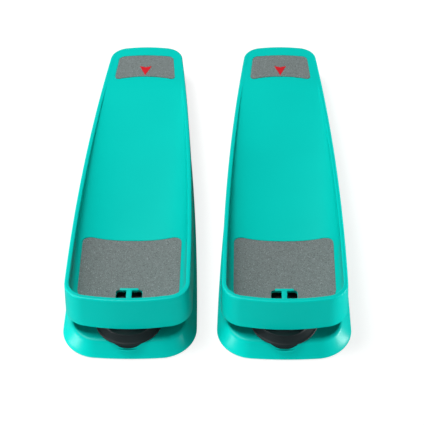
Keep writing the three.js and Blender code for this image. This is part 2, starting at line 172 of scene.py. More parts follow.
@dataclass(frozen=True)
class SurfaceFinish:
    """A finish made of one shader, a cloud of colour, fine relief and, if wanted, small specks.

    Cloud and grain sizes and the grain's height are in millimetres. A speck has a size in
    millimetres, the noise value from which it shows, and a colour.
    """

    name: str
    colour: str
    colour_shade: str
    roughness: float
    cloud_size: float
    grain_size: float
    grain_height: float
    metallic: float = 0.0
    specular: float = 0.5
    specks: tuple[tuple[float, float, str], ...] = ()

    def build(self) -> bpy.types.Material:
        """Builds the material, whose patterns all read Object coordinates.

        Returns:
            The finished material.
        """
        material = bpy.data.materials.new(self.name)
        material.use_nodes = True
        material.node_tree.nodes.clear()
        place = add_node(material, "ShaderNodeTexCoord", {}, {}).outputs["Object"]
        cloud = self._noise(material, place, self.cloud_size)
        low, high = CLOUD_SPAN
        stops = [(low, self.colour_shade), (high, self.colour)]
        colour = colour_ramp(material, stops, cloud)
        for size, threshold, speck_colour in self.specks:
            cells = self._noise(material, place, size)
            span = {"From Min": threshold, "From Max": threshold + SPECK_EDGE}
            mask = add_node(material, "ShaderNodeMapRange", span, {"Value": cells})
            share = {"Factor": mask.outputs["Result"]}
            mix = add_node(material, "ShaderNodeMix", {"data_type": "RGBA"}, share)
            material.node_tree.links.new(colour, mix.inputs[6])
            mix.inputs[7].default_value = linear(speck_colour)
            colour = mix.outputs[2]
        grain = self._noise(material, place, self.grain_size)
        bump = add_node(
            material,
            "ShaderNodeBump",
            {"Strength": 1.0, "Distance": self.grain_height * MM},
            {"Height": grain},
        )
        shader = add_node(
            material,
            "ShaderNodeBsdfPrincipled",
            {
                "Roughness": self.roughness,
                "Metallic": self.metallic,
                "Specular IOR Level": self.specular,
            },
            {"Base Color": colour, "Normal": bump.outputs["Normal"]},
        )
        add_node(material, "ShaderNodeOutputMaterial", {}, {"Surface": shader.outputs["BSDF"]})
        return material

    def _noise(
        self, material: bpy.types.Material, place: bpy.types.NodeSocket, size: float
    ) -> bpy.types.NodeSocket:
        """Adds noise on Object coordinates.

        Args:
            material: The material that gets the node.
            place: The Object coordinates.
            size: The size of one feature in millimetres.

        Returns:
            The noise's value, from 0 to 1.
        """
        settings = {"Scale": 1 / (size * MM), "Detail": 2.0, "Roughness": 0.5}
        return add_node(material, "ShaderNodeTexNoise", settings, {"Vector": place}).outputs["Fac"]


FINISHES = {
    # Injection-moulded ABS: even saturated colour, and a satin skin with a broad soft gloss.
    Finish.TEAL: SurfaceFinish(
        "moulded_abs_turquoise", "00cfc2", "00cbbf", 0.32, 90, 0.8, 0.004, specular=0.12
    ),
    # Glass-filled polypropylene: charcoal, with a fine spark-eroded texture.
    Finish.DARK: SurfaceFinish(
        "spark_eroded_polypropylene", "2c3133", "272c2e", 0.6, 30, 0.6, 0.03
    ),
    # Acetal: off-white and waxy.
    Finish.BUSH: SurfaceFinish("turned_acetal", "dcdcd4", "d2d2ca", 0.45, 10, 0.7, 0.005),
    # Mineral-grit tape: grey with pale and dark grains that break up the light. The grains are
    # drawn about twice as coarse as real grit, so that they show.
    Finish.GRIT: SurfaceFinish(
        "mineral_grit_tape",
        "7a8483",
        "737c7b",
        0.85,
        3,
        0.7,
        0.25,
        specks=((0.9, 0.6, "9aa3a2"), (1.1, 0.6, "5c6564")),
        specular=0.25,
    ),
    # Natural rubber: black with a soft sheen.
    Finish.RUBBER: SurfaceFinish(
        "moulded_natural_rubber", "212a2c", "1d2527", 0.45, 12, 0.9, 0.012, specular=0.25
    ),
    # Screen-printed vinyl film: flat red with a dull sheen.
    Finish.RED: SurfaceFinish(
        "printed_vinyl_red", "d91f2b", "d01c28", 0.5, 4, 0.5, 0.01, specular=0.2
    ),
    # Zinc-plated steel: bright with a slight haze.
    Finish.STEEL: SurfaceFinish(
        "zinc_plated_steel", "b4b8bc", "a6abb0", 0.32, 5, 0.4, 0.004, metallic=1.0
    ),
}


# ---- Meshes ----


def quarter_turn(count: int) -> Array:
    """Evenly spread angles from zero to a right angle."""
    return np.linspace(0, math.pi / 2, count)


def skin(rings: Array) -> bpy.types.Mesh:
    """Joins closed rings into one closed surface whose first and last rings fold onto a line.

    The grid has one row for each ring, and neighbouring rows and columns make quads. The columns
    wrap round. Points that meet on the closing lines are merged.

    Args:
        rings: Points in millimetres, as rows of rings by points by three.

    Returns:
        The mesh, in metres.
    """
    rows, columns = rings.shape[:2]
    index = np.arange(rows * columns).reshape(rows, columns)
    after = np.roll(index, -1, axis=1)
    quads = np.stack([index[:-1], after[:-1], after[1:], index[1:]], axis=-1).reshape(-1, 4)
    mesh = bpy.data.meshes.new("skin")
    mesh.from_pydata((rings.reshape(-1, 3) * MM).tolist(), [], quads.tolist())
    return cleaned(mesh)


def cleaned(mesh: bpy.types.Mesh, sharp_angle: float = 38.0) -> bpy.types.Mesh:
    """Merges doubles, drops flat faces, turns the normals out and shades the mesh.

    Args:
        mesh: The mesh to change.
        sharp_angle: Edges that fold by more than this many degrees stay crisp.

    Returns:
        The same mesh.
    """
    work = bmesh.new()
    work.from_mesh(mesh)
    bmesh.ops.remove_doubles(work, verts=work.verts, dist=MERGE_WITHIN)
    bmesh.ops.dissolve_degenerate(work, edges=work.edges, dist=FLAT_WITHIN)
    bmesh.ops.recalc_face_normals(work, faces=work.faces)
    work.to_mesh(mesh)
    work.free()
    mesh.shade_smooth()
    mesh.set_sharp_from_angle(angle=math.radians(sharp_angle))
    return mesh


def turned(
    profile: list[tuple[float, float]],
    centre: tuple[float, float, float],
    axis: Axis = Axis.UP,
    segments: int = 72,
) -> bpy.types.Mesh:
    """Turns a profile about an axis, as rings of radius r at height h.

    Args:
        profile: Radius and height pairs in millimetres, from axis to axis or closed on itself.
        centre: Where the axis meets height zero, in millimetres.
        axis: The axis's direction.
        segments: Points in each ring.

    Returns:
        The mesh, in metres.
    """
    radius, height = np.array(profile).T
    angle = np.linspace(0, 2 * math.pi, segments, endpoint=False)
    one = radius[:, None] * np.cos(angle)
    two = radius[:, None] * np.sin(angle)
    along = np.broadcast_to(height[:, None], one.shape)
    order = (one, two, along) if axis is Axis.UP else (along, one, two)
    return skin(np.stack(order, axis=-1) + np.array(centre))


def rounded_tube(
    outer: float, inner: float, low: float, high: float, edge: float
) -> list[tuple[float, float]]:
    """Gives the profile of a tube, or of a disc where there is no inner radius.

    Args:
        outer: Outer radius in millimetres.
        inner: Inner radius, or zero for a disc.
        low: Height of the lower face.
        high: Height of the upper face.
        edge: Radius of the two outer edges.

    Returns:
        Radius and height pairs. A tube's profile is closed, and a disc's runs from axis to axis.
    """
    turn = quarter_turn(4)
    rise = [(outer - edge + edge * math.sin(a), low + edge - edge * math.cos(a)) for a in turn]
    fall = [(outer - edge + edge * math.cos(a), high - edge + edge * math.sin(a)) for a in turn]
    start = [(inner, low)]
    end = [(inner, high)]
    close = [] if inner == 0 else start
    return start + rise + fall + end + close


def bevelled(work: bmesh.types.BMesh, edges: Sequence[bmesh.types.BMEdge], radius: float) -> None:
    """Rounds some edges of an open bmesh to a radius in millimetres."""
    bmesh.ops.bevel(
        work, geom=edges, offset=radius * MM, segments=3, affect="EDGES", profile=0.5
    )


def taken(work: bmesh.types.BMesh, name: str) -> bpy.types.Mesh:
    """Turns an open bmesh into a cleaned mesh of that name and frees it."""
    mesh = bpy.data.meshes.new(name)
    work.to_mesh(mesh)
    work.free()
    return cleaned(mesh)


def block(
    low: tuple[float, float, float], high: tuple[float, float, float], edge: float
) -> bpy.types.Mesh:
    """Makes a box with rounded edges.

    Args:
        low: Lowest corner in millimetres.
        high: Highest corner in millimetres.
        edge: Radius of the edges in millimetres.

    Returns:
        The mesh, in metres.
    """
    work = bmesh.new()
    bmesh.ops.create_cube(work, size=1.0)
    size = (Vector(high) - Vector(low)) * MM
    middle = (Vector(high) + Vector(low)) * MM / 2
    place = Matrix.Translation(middle) @ Matrix.Diagonal((*size, 1))
    bmesh.ops.transform(work, matrix=place, verts=work.verts)
    if edge:
        bevelled(work, work.edges, edge)
    return taken(work, "block")


def swept_face(
    work: bmesh.types.BMesh, points: list[tuple[float, float, float]], sweep: tuple[float, float, float]
) -> None:
    """Adds a solid swept from one flat face.

    Args:
        work: The bmesh that gets the solid.
        points: The face's corners in metres.
        sweep: How far and which way the face is swept, in metres.
    """
    face = work.faces.new([work.verts.new(point) for point in points])
    grown = bmesh.ops.extrude_face_region(work, geom=[face])["geom"]
    moved = [item for item in grown if isinstance(item, bmesh.types.BMVert)]
    bmesh.ops.translate(work, verts=moved, vec=sweep)


def prism(outline: Array, low: float, high: float) -> bpy.types.Mesh:
    """Stands a closed outline up between two heights.

    Args:
        outline: Points by two, in millimetres, anticlockwise.
        low: Height of the lower face.
        high: Height of the upper face.

    Returns:
        The mesh, in metres.
    """
    work = bmesh.new()
    corners = [(x * MM, y * MM, low * MM) for x, y in outline]
    swept_face(work, corners, (0, 0, (high - low) * MM))
    return taken(work, "prism")


def combined(body: bpy.types.Mesh, tool: bpy.types.Mesh, change: Change) -> bpy.types.Mesh:
    """Joins one mesh to another, or cuts it away, and returns the result.

    Args:
        body: The mesh that is kept.
        tool: The mesh that is added or cut away.
        change: Whether the tool is added or cut away.

    Returns:
        A new mesh.
    """
    holder = bpy.data.objects.new("holder", body)
    cutter = bpy.data.objects.new("cutter", tool)
    for item in (holder, cutter):
        bpy.context.scene.collection.objects.link(item)
    modifier = holder.modifiers.new("cut", "BOOLEAN")
    modifier.operation = change.value
    modifier.solver = "EXACT"
    modifier.object = cutter
    graph = bpy.context.evaluated_depsgraph_get()
    result = bpy.data.meshes.new_from_object(holder.evaluated_get(graph))
    for item in (holder, cutter):
        bpy.data.objects.remove(item)
    return cleaned(result)


def joined(meshes: list[bpy.types.Mesh]) -> bpy.types.Mesh:
    """Puts several closed meshes that don't touch into one.

    Args:
        meshes: The meshes.

    Returns:
        A new mesh.
    """
    work = bmesh.new()
    for mesh in meshes:
        work.from_mesh(mesh)
    return taken(work, "joined")


# ---- Outlines in plan ----


def slope_of(curve: Curve, at: float, step: float = 0.01) -> float:
    """Gives the slope of a curve at one place, from two points a step to each side."""
    return float(curve(at + step) - curve(at - step)) / (2 * step)


@dataclass
class PlanOutline:
    """A long outline with a bowed toe, two curved sides, a bowed heel and round corners.

    The counts are points sampled on half the toe, a toe corner, a side, a heel corner and half
    the heel.
    """

    half_width: Curve
    toe_y: float
    toe_bow: float
    toe_radius: float
    heel_y: float
    heel_bow: float
    heel_radius: float
    toe_count: int = 16
    toe_corner_count: int = 22
    side_count: int = 76
    heel_corner_count: int = 18
    heel_count: int = 12
    rounds: int = 30

    def toe(self, x: Array) -> Array:
        """The toe's edge: its middle plus a bow that grows with the square of x."""
        return self.toe_y + self.toe_bow * (x / self.half_width(0.0)) ** 2

    def heel(self, x: Array) -> Array:
        """The heel's edge: its middle less a bow that grows with the square of x."""
        return self.heel_y - self.heel_bow * (x / self.half_width(self.heel_y)) ** 2

    def _corner(self, end: Curve, radius: float, out: int, count: int) -> Array:
        """The arc that joins the side to an end, from the end to the side.

        The arc's centre lies a radius inside both curves. Each round sets the centre from the
        slopes at the last one, and it settles long before the rounds are over.

        Args:
            end: The end's edge, as y over x.
            radius: The arc's radius.
            out: 1 where the end faces +Y, or -1 where it faces -Y.
            count: Points on the arc.

        Returns:
            Points by two.
        """
        x = self.half_width(end(0.0)) - radius
        y = end(x) - out * radius
        for _ in range(self.rounds):
            y = end(x) - out * radius * math.hypot(1, slope_of(end, x))
            x = self.half_width(y) - radius * math.hypot(1, slope_of(self.half_width, y))
        first = math.atan2(out, -out * slope_of(end, x))
        last = math.atan2(-slope_of(self.half_width, y), 1)
        angle = np.linspace(first, last, count)
        return np.stack([x + radius * np.cos(angle), y + radius * np.sin(angle)], axis=-1)

    def points(self) -> Array:
        """Samples the outline, anticlockwise from the middle of the toe.

        Returns:
            Points by two, in millimetres.
        """
        toe_arc = self._corner(self.toe, self.toe_radius, -1, self.toe_corner_count)
        heel_arc = self._corner(self.heel, self.heel_radius, 1, self.heel_corner_count)[::-1]
        toe_x = np.linspace(0, toe_arc[0, 0], self.toe_count)[:-1]
        side_y = np.linspace(toe_arc[-1, 1], heel_arc[0, 1], self.side_count)[1:-1]
        heel_x = np.linspace(heel_arc[-1, 0], 0, self.heel_count)[1:]
        right = np.concatenate(
            [
                np.stack([toe_x, self.toe(toe_x)], axis=-1),
                toe_arc,
                np.stack([self.half_width(side_y), side_y], axis=-1),
                heel_arc,
                np.stack([heel_x, self.heel(heel_x)], axis=-1),
            ]
        )
        left = right[1:-1][::-1] * np.array([-1, 1])
        return np.concatenate([right, left])


def outward(points: Array) -> Array:
    """Unit normals of a closed anticlockwise outline.

    The step between a point's two neighbours, turned a quarter to the right, points outwards.

    Args:
        points: Points by two.

    Returns:
        Normals by two.
    """
    step = np.roll(points, -1, axis=0) - np.roll(points, 1, axis=0)
    normal = np.stack([step[:, 1], -step[:, 0]], axis=-1)
    return normal / np.linalg.norm(normal, axis=-1, keepdims=True)


def lifted(points: Array, height: Array) -> Array:
    """Gives plan points their heights, as points by three."""
    return np.concatenate([points, np.broadcast_to(height, points.shape[:1])[:, None]], axis=-1)


def spine_of(points: Array, first_y: float, last_y: float) -> Array:
    """The middle line's nearest point to each plan point, between two places along it."""
    return np.stack([np.zeros(len(points)), np.clip(points[:, 1], first_y, last_y)], axis=-1)


# ---- The foot tray ----


@dataclass
class FootTray:
    """The foot tray with its trough, walls, heel platform, slot and cleat."""

    length: float = 383.7
    ball_half_width: float = 57.0
    ball_y: float = 24.6
    side_slope: float = 0.00224
    side_bow: float = 0.000169
    toe_bow: float = 8.0
    toe_corner: float = 21.4
    heel_bow: float = 5.1
    heel_corner: float = 19.8
    rim_toe_z: float = 60.0
    rim_slope: float = 0.0662
    edge_toe_z: float = 22.4
    edge_slope: float = 0.016
    flare: float = 1.5
    side_rim: float = 4.2
    toe_rim: float = 5.2
    inner_round: float = 1.5
    inner_share: float = 0.45
    outer_round: float = 1.5
    wall: float = 2.8
    trough_depth: float = 26.8
    trough_end_y: float = 318.0
    trough_fall: float = 1.35
    trough_power: float = 2.3
    trough_blend: float = 0.5
    toe_turn_y: float = 23.0
    heel_turn_y: float = 352.0
    roof: float = 4.0
    roof_rise: float = 1.0
    slot_half: float = 12.0
    slot_y: tuple[float, float] = (10.0, 37.5)
    slot_radius: float = 3.0
    slot_z: tuple[float, float] = (20, 55)
    pocket_gap: float = 0.7
    pocket_floor: float = -0.5
    pocket_top: float = 2
    stem_half: float = 2.6
    stem_y: tuple[float, float] = (1.5, 36.4)
    stem_z: tuple[float, float] = (33.2, 35.6)
    stem_round: float = 0.6
    bar_half: float = 8.7
    bar_y: tuple[float, float] = (34.3, 37.2)
    bar_z: tuple[float, float] = (33.4, 35.9)
    bar_round: float = 0.7
    ear_root: float = 0.4
    cover_length: float = 336.0
    cover_inset: float = 5.4
    cover_spine_y: tuple[float, float] = (30, 300)
    cover_lift: float = 0.3
    cover_thickness: float = 2.5
    cover_edge: float = 0.6
    screw_places: tuple[tuple[float, float], ...] = ((-40, 62), (40, 62), (-33, 312), (33, 312))

    def half_width(self, y: Array) -> Array:
        """The side bulges a little behind the toe, and narrows with the square of the distance."""
        past = y - self.ball_y
        return self.ball_half_width + self.side_slope * past - self.side_bow * past * past

    def rim_z(self, y: Array) -> Array:
        """The rim's height, which falls evenly to the heel."""
        return self.rim_toe_z - self.rim_slope * y

    def edge_z(self, y: Array) -> Array:
        """The height of the wall's lower edge."""
        return self.edge_toe_z - self.edge_slope * y

    def depth(self, y: Array) -> Array:
        """The trough's depth: full depth times 1 - (y / end)^fall, eased to nothing at its end.

        The easing is (d + sqrt(d^2 + blend^2)) / 2, which never goes below zero.

        Args:
            y: Places along the tray.

        Returns:
            Depths below the rim.
        """
        share = (np.clip(y, 0, None) / self.trough_end_y) ** self.trough_fall
        plain = self.trough_depth * (1 - share)
        return (plain + np.sqrt(plain**2 + self.trough_blend**2)) / 2

    def inner_radius(self, y: Array) -> Array:
        """The radius between trough wall and rim, which shrinks with the depth."""
        return np.minimum(self.inner_round, self.inner_share * self.depth(y))

    def outline(self, length: float) -> PlanOutline:
        """The rim's outline in plan, for a tray or a cover of that length."""
        return PlanOutline(
            self.half_width,
            0.0,
            self.toe_bow,
            self.toe_corner,
            length,
            self.heel_bow,
            self.heel_corner,
        )

    def bowl(self, rho: Array) -> Array:
        """The cross-section's share of the depth, a superellipse: (1 - rho^p)^(1/p)."""
        return np.clip(1 - rho**self.trough_power, 0, 1) ** (1 / self.trough_power)

    def trough_z(self, y: Array, rho: Array) -> Array:
        """The trough's height at a share rho of the way from the middle to the wall."""
        radius = self.inner_radius(y)
        return self.rim_z(y) - radius - (self.depth(y) - radius) * self.bowl(rho)

    def floor_z(self, x: Array, y: Array) -> Array:
        """The trough's height over a point in plan, away from the walls.

        The share rho is (|x / half|^p + toe^p)^(1/p), where toe grows from 0 to 1 over the toe's
        turn.

        Args:
            x: Places across.
            y: Places along.

        Returns:
            Heights.
        """
        half = self.half_width(y) - self.side_rim
        toe = np.clip((self.toe_turn_y - y) / (self.toe_turn_y - self.toe_rim), 0, 1)
        across = (np.abs(x) / half) ** self.trough_power
        rho = (across + toe**self.trough_power) ** (1 / self.trough_power)
        return self.trough_z(y, np.clip(rho, 0, 1))

    def rings(self) -> Array:
        """Rings from the middle of the floor over the rim, down the wall and back underneath.

        Returns:
            Rings by points by three, in millimetres.
        """
        edge = self.outline(self.length).points()
        normal = outward(edge)
        rim = self.side_rim + (self.toe_rim - self.side_rim) * np.clip(-normal[:, 1:], 0, 1)
        inner = edge - rim * normal
        spine = spine_of(inner, self.toe_turn_y, self.heel_turn_y)
        flare = self.flare * (1 - np.clip(edge[:, 1:], 0, None) / self.length)
        bottom = self.edge_z(edge[:, 1]) + self.wall / 2
        above = self._trough_rings(spine, inner) + self._rim_rings(edge, inner, normal)
        wall = self._wall_rings(edge, normal, flare, bottom)
        return np.stack(above + wall + self._under_rings(edge, normal, flare, bottom, spine))

    def _trough_rings(self, spine: Array, inner: Array) -> list[Array]:
        """Rings that spread over the trough's floor, closer together near the wall.

        Args:
            spine: The middle line's nearest points.
            inner: The rim's inner edge in plan.

        Returns:
            The rings, from the middle outwards.
        """
        rings = []
        for rho in np.sin(quarter_turn(34)):
            plan = spine + rho * (inner - spine)
            rings.append(lifted(plan, self.trough_z(plan[:, 1], rho)))
        return rings

    def _rim_rings(self, edge: Array, inner: Array, normal: Array) -> list[Array]:
        """Two quarter turns, up from the trough onto the rim and over its outer edge.

        Args:
            edge: The rim's outer edge in plan.
            inner: The rim's inner edge in plan.
            normal: The outline's normals.

        Returns:
            The rings, from inside to outside.
        """
        rings = []
        radius = self.inner_radius(inner[:, 1])
        for angle in quarter_turn(7)[1:]:
            plan = inner + (radius * (1 - math.cos(angle)))[:, None] * normal
            rings.append(lifted(plan, self.rim_z(plan[:, 1]) - radius * (1 - math.sin(angle))))
        for angle in quarter_turn(7):
            plan = edge - self.outer_round * (1 - math.sin(angle)) * normal
            fall = self.outer_round * (1 - math.cos(angle))
            rings.append(lifted(plan, self.rim_z(plan[:, 1]) - fall))
        return rings

    def _wall_rings(
        self, edge: Array, normal: Array, flare: Array, bottom: Array
    ) -> list[Array]:
        """Rings down the wall's outer face and round its lower edge.

        Args:
            edge: The rim's outer edge in plan.
            normal: The outline's normals.
            flare: How far the wall leans out at its foot.
            bottom: Heights at which the lower edge starts to turn.

        Returns:
            The rings, from the rim down and under.
        """
        rings = []
        top = self.rim_z(edge[:, 1]) - self.outer_round
        for share in np.linspace(0, 1, 9)[1:]:
            plan = edge + flare * share * normal
            rings.append(lifted(plan, top + (bottom - top) * share))
        half = self.wall / 2
        for angle in np.linspace(0, math.pi, 9)[1:]:
            plan = edge + (flare - half * (1 - math.cos(angle))) * normal
            rings.append(lifted(plan, bottom - half * math.sin(angle)))
        return rings

    def _under_rings(
        self, edge: Array, normal: Array, flare: Array, bottom: Array, spine: Array
    ) -> list[Array]:
        """Rings up the wall's inner face and in under the floor to the middle.

        Args:
            edge: The rim's outer edge in plan.
            normal: The outline's normals.
            flare: How far the wall leans out at its foot.
            bottom: Heights at which the lower edge has turned.
            spine: The middle line's nearest points.

        Returns:
            The rings, from the lower edge to the middle.
        """
        rings = []
        lip = edge + (flare - self.wall) * normal
        shoulder = edge - self.wall * normal
        for share in np.linspace(0, 1, 5)[1:]:
            height = bottom + (self.rim_z(edge[:, 1]) - self.roof - bottom) * share
            rings.append(lifted(lip + (shoulder - lip) * share, height))
        for rho in np.sin(quarter_turn(18)[::-1])[1:]:
            plan = spine + rho * (shoulder - spine)
            under = np.clip(self.depth(plan[:, 1]) - self.roof_rise, 0, None)
            rings.append(lifted(plan, self.rim_z(plan[:, 1]) - self.roof - under * self.bowl(rho)))
        return rings

    def slot_outline(self, grow: float = 0.0) -> Array:
        """The slot's rounded rectangle in plan.

        Args:
            grow: How far it stands outside the slot.

        Returns:
            Points by two, anticlockwise.
        """
        low, high = self.slot_y
        half = self.slot_half + grow
        radius = self.slot_radius + grow
        turn = quarter_turn(7)
        corners = [
            (half - radius, low - grow + radius, -math.pi / 2),
            (half - radius, high + grow - radius, 0.0),
            (-half + radius, high + grow - radius, math.pi / 2),
            (-half + radius, low - grow + radius, math.pi),
        ]
        arcs = [
            np.stack([x + radius * np.cos(start + turn), y + radius * np.sin(start + turn)], axis=-1)
            for x, y, start in corners
        ]
        return np.concatenate(arcs)

    def shell(self) -> bpy.types.Mesh:
        """The tray's moulding, with its slot and a shallow pocket for each sheet.

        Returns:
            The mesh.
        """
        mesh = skin(self.rings())
        grips = GripSheets(self)
        pocket = (self.pocket_gap, self.pocket_floor, self.pocket_top)
        for layer in (grips.toe_layer(*pocket), grips.heel_layer(*pocket)):
            mesh = combined(mesh, layer, Change.CUT)
        return combined(mesh, prism(self.slot_outline(), *self.slot_z), Change.CUT)

    def cleat(self) -> bpy.types.Mesh:
        """The T that reaches over the slot from the toe wall and holds a band's loop.

        Returns:
            The mesh.
        """
        parts = [
            block((-half, y[0], z[0]), (half, y[1], z[1]), edge)
            for half, y, z, edge in (
                (self.stem_half, self.stem_y, self.stem_z, self.stem_round),
                (self.bar_half, self.bar_y, self.bar_z, self.bar_round),
            )
        ]
        return combined(*parts, Change.JOIN)

    def ears(self, hinge: "HeelHinge") -> bpy.types.Mesh:
        """The two ears under the platform that carry the hinge's bushes."""
        roof_z = float(self.rim_z(hinge.y)) - self.roof + self.ear_root
        spans = both_sides(hinge.tray_ear)
        return joined([hinge.ear(span, roof_z, hinge.bush_radius) for span in spans])

    def cover(self) -> bpy.types.Mesh:
        """The plate that closes the underside, a little inside the wall, with rounded edges.

        Returns:
            The mesh, whose rings run out underneath, up round the edge and in over the top.
        """
        plan = self.outline(self.cover_length).points()
        normal = outward(plan)
        plan = plan - self.cover_inset * normal
        spine = spine_of(plan, *self.cover_spine_y)
        border = plan - self.cover_edge * normal
        low, edge, cut = self.cover_lift, self.cover_edge, self.cover_edge / 3
        high = low + self.cover_thickness
        under = [(cut, low + cut), (0.0, low + edge)]
        over = [(0.0, high - edge), (cut, high - cut), (edge, high)]
        rings = []
        for share in np.linspace(0, 1, 5):
            ring = spine + share * (border - spine)
            rings.append(lifted(ring, self.edge_z(ring[:, 1]) + low))
        for inset, lift in under + over:
            ring = plan - inset * normal
            rings.append(lifted(ring, self.edge_z(ring[:, 1]) + lift))
        for share in np.linspace(1, 0, 4)[1:]:
            ring = spine + share * (border - spine)
            rings.append(lifted(ring, self.edge_z(ring[:, 1]) + high))
        return skin(np.stack(rings))


# ---- The grip sheets ----


@dataclass
class GripSheets:
    """The two sheets of grit tape in a tray and the arrow on the heel sheet."""

    tray: FootTray
    toe_half: float = 46.5
    toe_y: tuple[float, float] = (19.0, 99.0)
    toe_radius: float = 10.5
    toe_hole_gap: float = 0.3
    toe_hole_z: tuple[float, float] = (20, 60)
    heel_y: tuple[float, float] = (325.6, 364.2)
    heel_half: tuple[float, float] = (31.6, 28.6)
    heel_arch: tuple[float, float] = (5.4, 3.2)
    heel_corner: float = 5.0
    low: float = -0.45
    high: float = 0.15
    columns: int = 60
    arrow_y: tuple[float, float] = (332.6, 348.2)
    arrow_half: float = 6.2
    arrow_notch: float = 1.8
    arrow_gap: float = 0.02
    arrow_thickness: float = 0.25

    def toe_sheet(self) -> bpy.types.Mesh:
        """The toe sheet, which lies in its pocket and has a hole over the slot."""
        sheet = self.toe_layer(0.0, self.low, self.high)
        hole = prism(self.tray.slot_outline(self.toe_hole_gap), *self.toe_hole_z)
        return combined(sheet, hole, Change.CUT)

    def heel_sheet(self) -> bpy.types.Mesh:
        """The heel sheet, an arched band that lies in its pocket on the platform."""
        return self.heel_layer(0.0, self.low, self.high)

    def toe_layer(self, grow: float, low: float, high: float) -> bpy.types.Mesh:
        """A layer with the toe sheet's outline, which follows the floor up at both sides.

        Args:
            grow: How far the outline stands outside the sheet's.
            low: Height of the lower face over the floor.
            high: Height of the upper face over the floor.

        Returns:
            The layer, whose rows have constant y and crowd along the corner arcs.
        """
        first, last = self.toe_y[0] - grow, self.toe_y[1] + grow
        radius = self.toe_radius + grow
        turn = radius * (1 - np.cos(quarter_turn(12)))
        middle = np.linspace(first + radius, last - radius, 30)[1:-1]
        y = np.concatenate([first + turn, middle, last - turn[::-1]])
        past = np.clip(radius - np.minimum(y - first, last - y), 0, radius)
        half = self.toe_half + grow - (radius - np.sqrt(radius**2 - past**2))
        x = half[:, None] * np.linspace(-1, 1, self.columns)
        y = np.broadcast_to(y[:, None], x.shape)
        floor = self.tray.floor_z(x, y)
        return self._sheet(x, y, floor + low, floor + high)

    def heel_layer(self, grow: float, low: float, high: float) -> bpy.types.Mesh:
        """A layer with the heel sheet's outline, whose toe and heel edges are parabolas across.

        Args:
            grow: How far the outline stands outside the sheet's.
            low: Height of the lower face over the platform.
            high: Height of the upper face over the platform.

        Returns:
            The layer.
        """
        first, last = self.heel_y[0] - grow, self.heel_y[1] + grow
        corner = (self.heel_corner + grow) / (last - first)
        turn = corner * (1 - np.cos(quarter_turn(10)))
        along = np.concatenate([turn, np.linspace(corner, 1 - corner, 12)[1:-1], 1 - turn[::-1]])
        half = self.heel_half[0] + (self.heel_half[1] - self.heel_half[0]) * along + grow
        past = np.clip(1 - np.minimum(along, 1 - along) / corner, 0, 1)
        half = half - (self.heel_corner + grow) * (1 - np.sqrt(1 - past**2))
        x = half[:, None] * np.linspace(-1, 1, self.columns)
        across = x / self.heel_half[0]
        toe_edge = first + self.heel_arch[0] * (1 - across**2)
        heel_edge = last + self.heel_arch[1] * (1 - across**2)
        y = toe_edge + (heel_edge - toe_edge) * along[:, None]
        plane = self.tray.rim_z(y)
        return self._sheet(x, y, plane + low, plane + high)

    def _sheet(self, x: Array, y: Array, low: Array, high: Array) -> bpy.types.Mesh:
        """Closes a top and a bottom grid into a thin sheet.

        Each row becomes a loop, over the top and back underneath. A loop pressed flat half way
        between the two faces closes each end.

        Args:
            x: Places across, as rows by columns.
            y: Places along.
            low: Heights of the lower face.
            high: Heights of the upper face.

        Returns:
            The mesh.
        """
        top = np.stack([x, y, high], axis=-1)
        bottom = np.stack([x, y, low], axis=-1)[:, ::-1]
        loops = np.concatenate([top, bottom], axis=1)
        middle = (top + bottom[:, ::-1]) / 2
        close_low = np.concatenate([middle[:1], middle[:1, ::-1]], axis=1)
        close_high = np.concatenate([middle[-1:], middle[-1:, ::-1]], axis=1)
        return skin(np.concatenate([close_low, loops, close_high]))

    def arrow(self) -> bpy.types.Mesh:
        """A plain printed arrowhead on the heel sheet that points to the toe.

        Returns:
            The mesh, tilted with the platform by adding the rim's height to each point.
        """
        low = self.high + self.arrow_gap
        tip, tail = self.arrow_y
        notch = tail - self.arrow_notch
        outline = np.array([[0, tip], [self.arrow_half, tail], [0, notch], [-self.arrow_half, tail]])
        mesh = prism(outline, low, low + self.arrow_thickness)
        points = np.empty(len(mesh.vertices) * 3)
        mesh.vertices.foreach_get("co", points)
        points = points.reshape(-1, 3)
        points[:, 2] += self.tray.rim_z(points[:, 1] / MM) * MM
        mesh.vertices.foreach_set("co", points.ravel())
        return mesh


# ---- The heel hinge ----


def both_sides(span: tuple[float, float]) -> list[tuple[float, float]]:
    """A span across the foot and its mirror image."""
    return [span, (-span[1], -span[0])]


